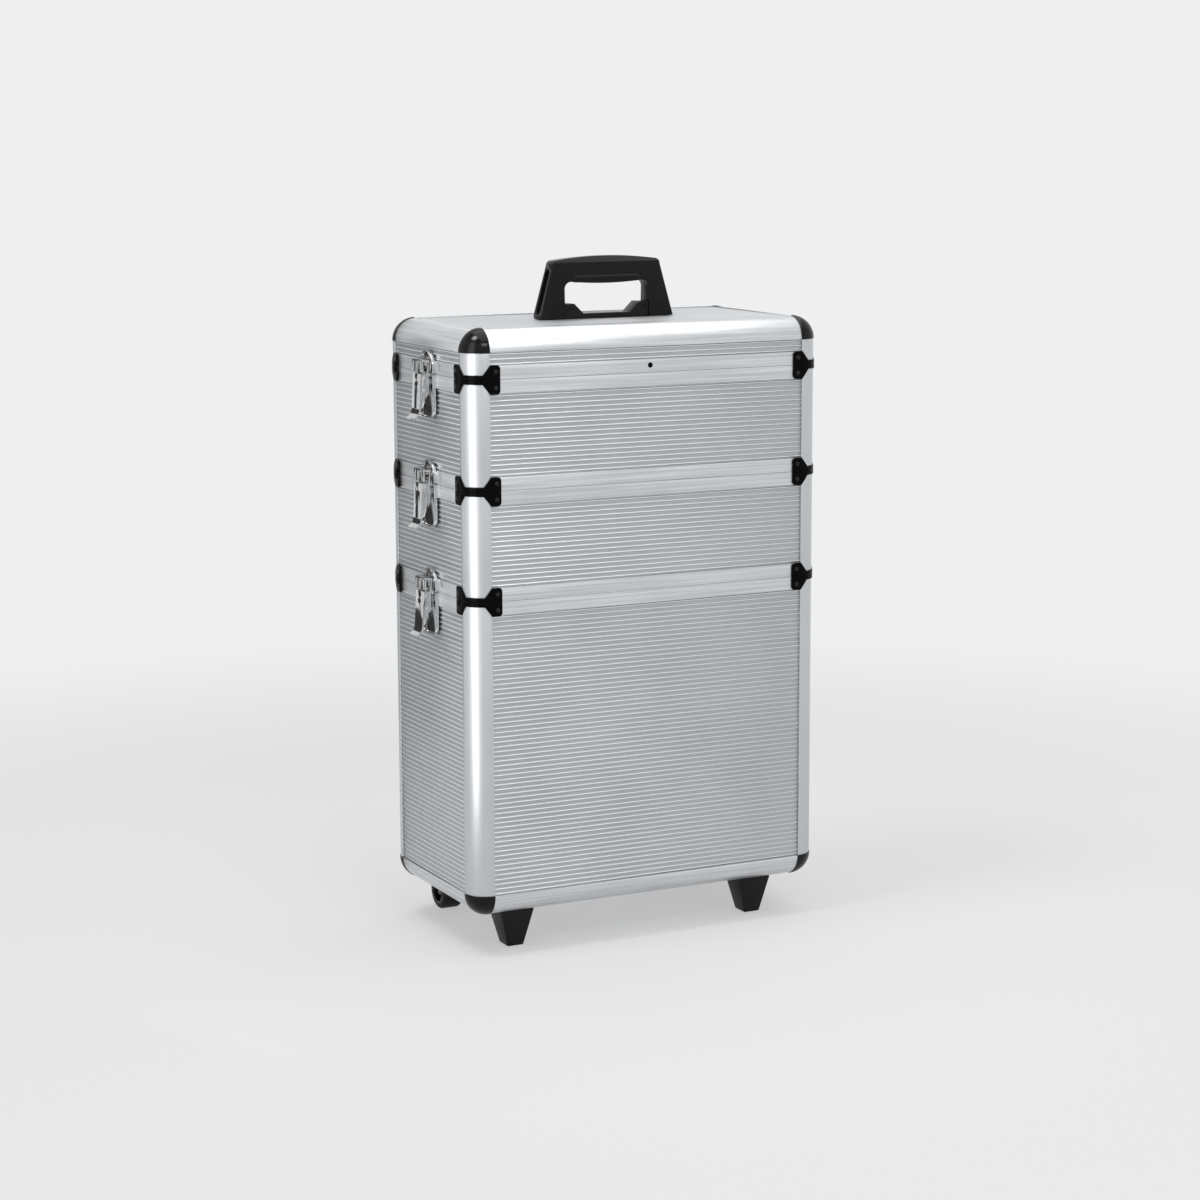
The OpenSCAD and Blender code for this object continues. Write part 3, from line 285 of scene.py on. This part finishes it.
plateLooks = {
    "brightPlate": {"tone": (0.6, 0.605, 0.61),
                    "rough": (0.05, 0.1), "haze": 70.0, "ripple": 160.0, "bump": 0.08, "depth": 0.4 * mm},
    # darker copy of the bright plate, painted shade for the hollows of the latch plates and keepers
    "shadowPlate": {"tone": (0.3, 0.302, 0.306),
                    "rough": (0.12, 0.2), "haze": 70.0, "ripple": 160.0, "bump": 0.06, "depth": 0.4 * mm},
    "pinSteel": {"tone": (0.5, 0.505, 0.515),
                 "rough": (0.2, 0.3), "haze": 120.0, "ripple": 300.0, "bump": 0.05, "depth": 0.2 * mm},
    "darkSteel": {"tone": (0.09, 0.09, 0.095),
                  "rough": (0.25, 0.35), "haze": 120.0, "ripple": 300.0, "bump": 0.05, "depth": 0.2 * mm},
}
finishes = {
    "satinPost": satinFinish("satinPost", postLook, True),
    "satinRail": satinFinish("satinRail", railLook, False),
    "ribbedSheet": panelFinish("ribbedSheet", panelLook, True),
    "flatSheet": panelFinish("flatSheet", topLook, False),
    **{name: mouldedFinish(name, look) for name, look in plasticLooks.items()},
    **{name: plateFinish(name, look) for name, look in plateLooks.items()},
}
print("finishes built:", len(finishes))

# finish, rounding in mm and number of steps for each kind of node
dressing = {
    "posts": ("satinPost", 0.3, 2),
    "rails": ("satinRail", 0.3, 2),
    "rim": ("satinRail", 0.3, 2),
    "rims": ("satinRail", 0.3, 2),
    "panels": ("ribbedSheet", 0.22, 2),
    "bin_floor": ("flatSheet", 0.3, 2),
    "lid_top_panel": ("flatSheet", 0.3, 2),
    "floor": ("blackBoard", 0.5, 2),
    "corners": ("ballBlack", 0.5, 3),
    "clips": ("glossBlack", 0.4, 3),
    "stud": ("glossBlack", 0.1, 1),
    "plates": ("brightPlate", 0.3, 2),
    "keepers": ("brightPlate", 0.3, 2),
    "lever": ("brightPlate", 0.3, 2),
    "bail": ("brightPlate", 0.4, 2),
    "feet": ("satinBlack", 1.2, 3),
    "brackets": ("satinBlack", 0.5, 2),
    "bracket": ("satinBlack", 0.8, 3),
    "base": ("handleBlack", 0.8, 3),
    "carry_handle": ("handleBlack", 1.1, 3),
    "grip": ("handleBlack", 0.5, 2),
    "button": ("buttonGrey", 0.6, 3),
    "tubes": ("satinPost", 0.2, 2),
    "axles": ("darkSteel", 0.3, 2),
    "pins": ("pinSteel", 0.2, 2),
    "tyre": ("tyreRubber", 0.3, 2),
    "hub": ("hubBlack", 0.4, 2),
}
mergeDistance = 0.001 * mm
flatAngle = math.radians(0.6)
sharpAngle = math.radians(28)


def dressFor(node):
    return dressing.get(node) or dressing[node.rsplit("_", 1)[-1]]


def pieceName(node):
    first, *rest = node.split("_")
    return first + "".join(word.capitalize() for word in rest)


# merged copy of a solid's mesh, with its flat faces whole again
def cleanCopy(node):
    mesh = frame["nodes"][node].data.copy()
    mesh.materials.clear()
    work = bmesh.new()
    work.from_mesh(mesh)
    bmesh.ops.remove_doubles(work, verts=work.verts, dist=mergeDistance)
    bmesh.ops.dissolve_limit(work, angle_limit=flatAngle, verts=work.verts, edges=work.edges)
    work.to_mesh(mesh)
    work.free()
    return addObject(pieceName(node), mesh)


def bakeModifiers(piece):
    shape = bpy.data.meshes.new_from_object(piece.evaluated_get(bpy.context.evaluated_depsgraph_get()))
    piece.modifiers.clear()
    piece.data = shape


def smoothByAngle(mesh):
    mesh.polygons.foreach_set("use_smooth", [True] * len(mesh.polygons))
    mesh.set_sharp_from_angle(angle=sharpAngle)


def dress(node):
    finish, width, steps = dressFor(node)
    piece = cleanCopy(node)
    piece.data.materials.append(finishes[finish])
    bevel = piece.modifiers.new("rounding", "BEVEL")
    bevel.width = width * mm
    bevel.segments = steps
    bevel.limit_method = "ANGLE"
    bevel.angle_limit = sharpAngle
    bevel.use_clamp_overlap = True
    bpy.context.view_layer.update()
    bakeModifiers(piece)
    smoothByAngle(piece.data)
    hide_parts(node)
    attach(piece, bodyOf[node])
    return piece


pieces = {node: dress(node) for node in frame["nodes"]}
print("pieces dressed:", len(pieces))


# gives a second finish to the faces whose corners and normal pass the test
def paintFaces(piece, finish, test):
    mesh = piece.data
    mesh.materials.append(finishes[finish])
    index = len(mesh.materials) - 1
    for face in mesh.polygons:
        if test([mesh.vertices[corner].co for corner in face.vertices], face.normal):
            face.material_index = index


# black lock face on each lever, and painted shade: a darker copy of the bright plate in the hollows of the
# latch plates and keepers
lockLook = {"radius": 2.75 * mm, "down": 9.5 * mm, "out": 12.4 * mm}
hollowLook = {"out": 1.2 * mm, "near": 0.1 * mm, "facing": 0.9}


def standOut(spot):
    return abs(spot.x) - halfWide


def lockTest(node):
    seam = seams[node.split("_")[1]]
    low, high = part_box(node)
    center = Vector(((low[1] + high[1]) / 2, seam - lockLook["down"]))
    return lambda corners, _: all((corner.yz - center).length < lockLook["radius"]
                                  and standOut(corner) > lockLook["out"] for corner in corners)


def hollowTest(corners, normal):
    return abs(normal.x) > hollowLook["facing"] and all(
        abs(standOut(corner) - hollowLook["out"]) < hollowLook["near"] for corner in corners)


for node, piece in pieces.items():
    if node.endswith("_lever"):
        paintFaces(piece, "lockBlack", lockTest(node))
    elif node.endswith(("_latch_plates", "_keepers")):
        # painted shade in the flat hollows of the plates and keepers
        paintFaces(piece, "shadowPlate", hollowTest)
print("locks and latch hollows painted")


# small heads, set by Geometry Nodes on listed points
def latheHead(name, profile, turns):
    work = bmesh.new()
    rings = []
    for radius, height in profile:
        angles = [2 * math.pi * step / turns for step in range(turns)]
        rings.append([work.verts.new((radius * math.cos(a), radius * math.sin(a), height)) for a in angles])
    for lower, upper in zip(rings, rings[1:]):
        for step in range(turns):
            following = (step + 1) % turns
            work.faces.new((lower[step], lower[following], upper[following], upper[step]))
    work.faces.new(list(reversed(rings[0])))
    work.faces.new(rings[-1])
    bmesh.ops.recalc_face_normals(work, faces=work.faces)
    mesh = bpy.data.meshes.new(name)
    work.to_mesh(mesh)
    work.free()
    return addObject(name, mesh)


def headTree():
    tree = bpy.data.node_groups.new("headsOnPoints", "GeometryNodeTree")
    kinds = (("Points", "NodeSocketGeometry"), ("Head", "NodeSocketObject"),
             ("Finish", "NodeSocketMaterial"))
    for label, kind in kinds:
        tree.interface.new_socket(label, in_out="INPUT", socket_type=kind)
    tree.interface.new_socket("Heads", in_out="OUTPUT", socket_type="NodeSocketGeometry")
    given = tree.nodes.new("NodeGroupInput").outputs
    shape = addNode(tree, "GeometryNodeObjectInfo", {"Object": given["Head"]})
    facing = addNode(tree, "GeometryNodeInputNamedAttribute", {"Name": "facing"}, data_type="FLOAT_VECTOR")
    aim = addNode(tree, "FunctionNodeAlignRotationToVector", {"Vector": facing.outputs[0]}, axis="Z")
    placed = addNode(tree, "GeometryNodeInstanceOnPoints",
                     {"Points": given["Points"], "Instance": shape.outputs["Geometry"],
                      "Rotation": aim.outputs[0]})
    real = addNode(tree, "GeometryNodeRealizeInstances", {"Geometry": placed.outputs[0]})
    coated = addNode(tree, "GeometryNodeSetMaterial",
                     {"Geometry": real.outputs[0], "Material": given["Finish"]})
    tree.links.new(coated.outputs[0], tree.nodes.new("NodeGroupOutput").inputs["Heads"])
    return tree


headsOnPoints = headTree()


def setHeads(name, body, spots, head, finish):
    mesh = bpy.data.meshes.new(name)
    mesh.from_pydata([spot for spot, _ in spots], [], [])
    facing = mesh.attributes.new("facing", "FLOAT_VECTOR", "POINT")
    for index, (_, normal) in enumerate(spots):
        facing.data[index].vector = normal
    piece = addObject(name, mesh)
    nodesModifier = piece.modifiers.new("heads", "NODES")
    nodesModifier.node_group = headsOnPoints
    values = {"Head": head, "Finish": finishes[finish]}
    for item in headsOnPoints.interface.items_tree:
        if item.in_out == "INPUT" and item.name in values:
            nodesModifier[item.identifier] = values[item.name]
    bpy.context.view_layer.update()
    bakeModifiers(piece)
    smoothByAngle(piece.data)
    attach(piece, body)


domeSteps = 5
domeTurns = 16


def domeHead(name, look):
    radius, height = look["radius"], look["height"]
    angles = [math.pi / 2 * step / domeSteps for step in range(domeSteps)]
    dome = [(radius * math.cos(angle), height * math.sin(angle)) for angle in angles]
    return latheHead(name, [(radius, -height / 3)] + dome, domeTurns)


# domed rivets in the clips' ears, above and below each seam
clipRivet = {"radius": 2.2 * mm, "height": 0.9 * mm, "along": 27.2 * mm, "up": 7.6 * mm}
clipHead = domeHead("clipHead", clipRivet)
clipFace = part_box("bin_clips")[1][0]


def clipSpots(seam, way):
    spots = []
    height = seam + way * clipRivet["up"]
    for right in (-1, 1):
        for back in (-1, 1):
            alongX = right * (halfWide - clipRivet["along"])
            alongY = midY + back * (halfDeep - clipRivet["along"])
            spots.append(((alongX, midY + back * (halfDeep + clipFace - halfWide), height), (0, back, 0)))
            spots.append(((right * clipFace, alongY, height), (right, 0, 0)))
    return spots


# flat rivets in the keepers' domes and beside the levers' lips
latchRivet = {"radius": 1.7 * mm, "height": 0.6 * mm, "keeperUp": 16.8 * mm, "plateDown": 36 * mm,
              "plateAside": 12.9 * mm}
latchHead = domeHead("latchHead", latchRivet)
leverLow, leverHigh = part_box("left_top_lever")
latchY = (leverLow[1] + leverHigh[1]) / 2
latchFace = halfWide + hollowLook["out"]


def keeperSpots(seam):
    return [((side * latchFace, latchY, seam + latchRivet["keeperUp"]), (side, 0, 0)) for side in (-1, 1)]


def plateSpots(seam):
    return [((side * latchFace, latchY + aside * latchRivet["plateAside"], seam - latchRivet["plateDown"]),
             (side, 0, 0)) for side in (-1, 1) for aside in (-1, 1)]


clipsOn = {body: [] for body in ("bin", "middle_tray", "upper_tray", "lid")}
latchesOn = {body: [] for body in clipsOn}
for level, seam in seams.items():
    clipsOn[sectionBelow[level]] += clipSpots(seam, -1)
    clipsOn[sectionAbove[level]] += clipSpots(seam, 1)
    latchesOn[sectionBelow[level]] += plateSpots(seam)
    latchesOn[sectionAbove[level]] += keeperSpots(seam)
for body in clipsOn:
    setHeads(pieceName(body) + "ClipRivets", body, clipsOn[body], clipHead, "rivetBlack")
    setHeads(pieceName(body) + "LatchRivets", body, latchesOn[body], latchHead, "darkSteel")
print("rivets set:", sum(len(spots) for spots in [*clipsOn.values(), *latchesOn.values()]))

# screws in the wheel brackets' tabs and in the pull handle's brackets
screwLook = {"radius": 3.2 * mm, "height": 1.3 * mm, "turns": 20,
             "tabInset": 8 * mm, "tabDown": (6 * mm, 18 * mm),
             "flangeInset": 4 * mm, "flangeThick": 4 * mm, "flangeUp": (6 * mm, 18 * mm)}
screwShares = ((1.0, -0.3), (1.0, 0.3), (0.9, 0.7), (0.6, 1.0), (0.34, 1.0), (0.26, 0.45), (0.02, 0.35))
screwHead = latheHead("screwHead", [(screwLook["radius"] * share, screwLook["height"] * rise)
                                    for share, rise in screwShares], screwLook["turns"])


def tabSpots():
    _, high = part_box("wheel_brackets")
    return [((side * (high[0] - screwLook["tabInset"]), high[1], high[2] - down), (0, 1, 0))
            for side in (-1, 1) for down in screwLook["tabDown"]]


def flangeSpots(node):
    low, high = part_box(node)
    alongX = high[0] - screwLook["flangeInset"]
    face = low[1] + screwLook["flangeThick"]
    return [((side * alongX, face, low[2] + up), (0, 1, 0))
            for side in (-1, 1) for up in screwLook["flangeUp"]]


screwSpots = tabSpots() + flangeSpots("pull_foot_bracket") + flangeSpots("pull_top_bracket")
setHeads("binScrews", "bin", screwSpots, screwHead, "pinSteel")
print("screws set:", len(screwSpots))

for head in (clipHead, latchHead, screwHead):
    bpy.data.objects.remove(head)

# pale floor that keeps the shadow near the object and fades into the backdrop further off
stageLook = {"size": 14.0, "near": (0.66, 0.66, 0.665), "rough": 0.9, "seen": (0.86, 0.865, 0.87),
             "fadeStart": 0.6, "fadeEnd": 1.7, "fadeLeast": 0.5,
             "light": (0.9, 0.91, 0.92), "lightLevel": 0.4,
             "ceiling": (0.3, 0.302, 0.305), "wallTop": 0.6, "ceilingStart": 0.85}


# 1 where the background itself is looked at, straight or in a reflection
def seenRay(tree):
    path = addNode(tree, "ShaderNodeLightPath").outputs
    straight = mathNode(tree, "MAXIMUM", path["Is Camera Ray"], path["Is Glossy Ray"])
    return mathNode(tree, "MAXIMUM", straight, path["Is Transmission Ray"])


def stageSheet(name, corners, material):
    mesh = bpy.data.meshes.new(name)
    mesh.from_pydata(corners, [], [(0, 1, 2, 3)])
    mesh.materials.append(material)
    return addObject(name, mesh)


floorMaterial, floorTree, floorShader = startMaterial("paleFloor")
floorShader.inputs["Base Color"].default_value = (*stageLook["near"], 1)
floorShader.inputs["Roughness"].default_value = stageLook["rough"]
away = addNode(floorTree, "ShaderNodeVectorMath", {0: objectPlace(floorTree)}, operation="LENGTH")
fade = addNode(floorTree, "ShaderNodeMapRange", {
    "Value": away.outputs["Value"], "From Min": stageLook["fadeStart"], "From Max": stageLook["fadeEnd"],
    "To Min": stageLook["fadeLeast"]}, interpolation_type="SMOOTHSTEP")
glow = addNode(floorTree, "ShaderNodeEmission", {"Color": (*stageLook["seen"], 1)})
blend = addNode(floorTree, "ShaderNodeMixShader", {
    0: mathNode(floorTree, "MULTIPLY", fade.outputs["Result"], seenRay(floorTree)),
    1: floorShader.outputs["BSDF"], 2: glow.outputs["Emission"]})
floorTree.links.new(blend.outputs["Shader"], floorTree.nodes["Material Output"].inputs["Surface"])
half = stageLook["size"] / 2
floorCorners = [(-half, -half, 0), (half, -half, 0), (half, half, 0), (-half, half, 0)]
paleFloor = stageSheet("paleFloor", floorCorners, floorMaterial)

# dark card beside the case, seen only in reflections, which gives the bright plating its dark streaks
cardLook = {"middle": Vector((-0.56, 0.83, 0)), "along": Vector((0.922, 0.387, 0)),
            "width": 0.24, "height": 0.8, "tone": (0.02, 0.02, 0.02)}
cardEnds = [cardLook["middle"] + cardLook["along"] * cardLook["width"] * share for share in (-0.5, 0.5)]
cardRise = Vector((0, 0, cardLook["height"]))
cardCorners = [*cardEnds, *(end + cardRise for end in reversed(cardEnds))]
cardMaterial, _, cardShader = startMaterial("darkCard")
cardShader.inputs["Base Color"].default_value = (*cardLook["tone"], 1)
darkCard = stageSheet("darkCard", cardCorners, cardMaterial)
darkCard.visible_camera = False
darkCard.visible_diffuse = False
darkCard.visible_shadow = False

# soft studio light
world = bpy.data.worlds.new("studio")
scene = bpy.context.scene
scene.world = world
world.use_nodes = True
skyTree = world.node_tree
lightSky = skyTree.nodes["Background"]
lightSky.inputs["Color"].default_value = (*stageLook["light"], 1)
lightSky.inputs["Strength"].default_value = stageLook["lightLevel"]
upward = addNode(skyTree, "ShaderNodeSeparateXYZ", {
    "Vector": addNode(skyTree, "ShaderNodeTexCoord").outputs["Generated"]}).outputs["Z"]
overhead = remap(skyTree, upward, stageLook["wallTop"], stageLook["ceilingStart"], 0.0, 1.0)
seenColor = mixColor(skyTree, overhead, stageLook["seen"], stageLook["ceiling"])
seenSky = addNode(skyTree, "ShaderNodeBackground", {"Color": seenColor, "Strength": 1.0})
skyBlend = addNode(skyTree, "ShaderNodeMixShader", {0: seenRay(skyTree), 1: lightSky.outputs["Background"],
                                                    2: seenSky.outputs["Background"]})
skyTree.links.new(skyBlend.outputs["Shader"], skyTree.nodes["World Output"].inputs["Surface"])


# places and sizes in metres, power in watts
caseMiddle = (0, 0, 0.35)
lampLooks = {
    "leftSoftbox": {"place": (-0.5, -0.23, 0.47), "target": (-0.18, -0.1, 0.47),
                    "size": (0.2, 0.92), "power": 1.15},
    "overheadSoftbox": {"place": (0.55, -0.1, 2.3), "target": (0.55, -0.1, 0),
                        "size": (2.2, 2.4), "power": 32},
    "keyLamp": {"place": (-0.9, -0.16, 2.2), "target": caseMiddle, "size": (0.6, 0.55), "power": 17},
    "frontLamp": {"place": (-0.15, -2.0, 2.0), "target": caseMiddle, "size": (1.1, 0.45), "power": 11},
}


def softbox(name, look):
    lamp = bpy.data.lights.new(name, "AREA")
    lamp.shape = "RECTANGLE"
    lamp.size, lamp.size_y = look["size"]
    lamp.energy = look["power"]
    place = Vector(look["place"])
    facing = (Vector(look["target"]) - place).to_track_quat("-Z", "Y")
    holder = addObject(name, lamp)
    holder.matrix_world = Matrix.Translation(place) @ facing.to_matrix().to_4x4()
    holder.visible_camera = False
    return holder


lamps = {name: softbox(name, look) for name, look in lampLooks.items()}
lamps["leftSoftbox"].visible_diffuse = False  # near the case, so it is kept off the floor

# camera at the photograph's place: metres, degrees, and millimetres for the lens and sensor
view = {"place": (-1.2747, -2.5431 + midY, 0.7679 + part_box("bin_bottom_rails")[0][2]), "turn": 26.537,
        "tilt": -9.692, "roll": -0.208, "lens": 86.54, "sensor": 36.0}
camera = bpy.data.cameras.new("camera")
camera.lens = view["lens"]
camera.sensor_width = view["sensor"]
cameraHolder = addObject("camera", camera)
cameraHolder.matrix_world = (Matrix.Translation(view["place"])
                             @ Matrix.Rotation(math.radians(-view["turn"]), 4, "Z")
                             @ Matrix.Rotation(math.radians(90 + view["tilt"]), 4, "X")
                             @ Matrix.Rotation(math.radians(view["roll"]), 4, "Z"))
scene.camera = cameraHolder
scene.view_settings.view_transform = "Standard"
print("stage, lights and camera set")

bpy.context.view_layer.update()
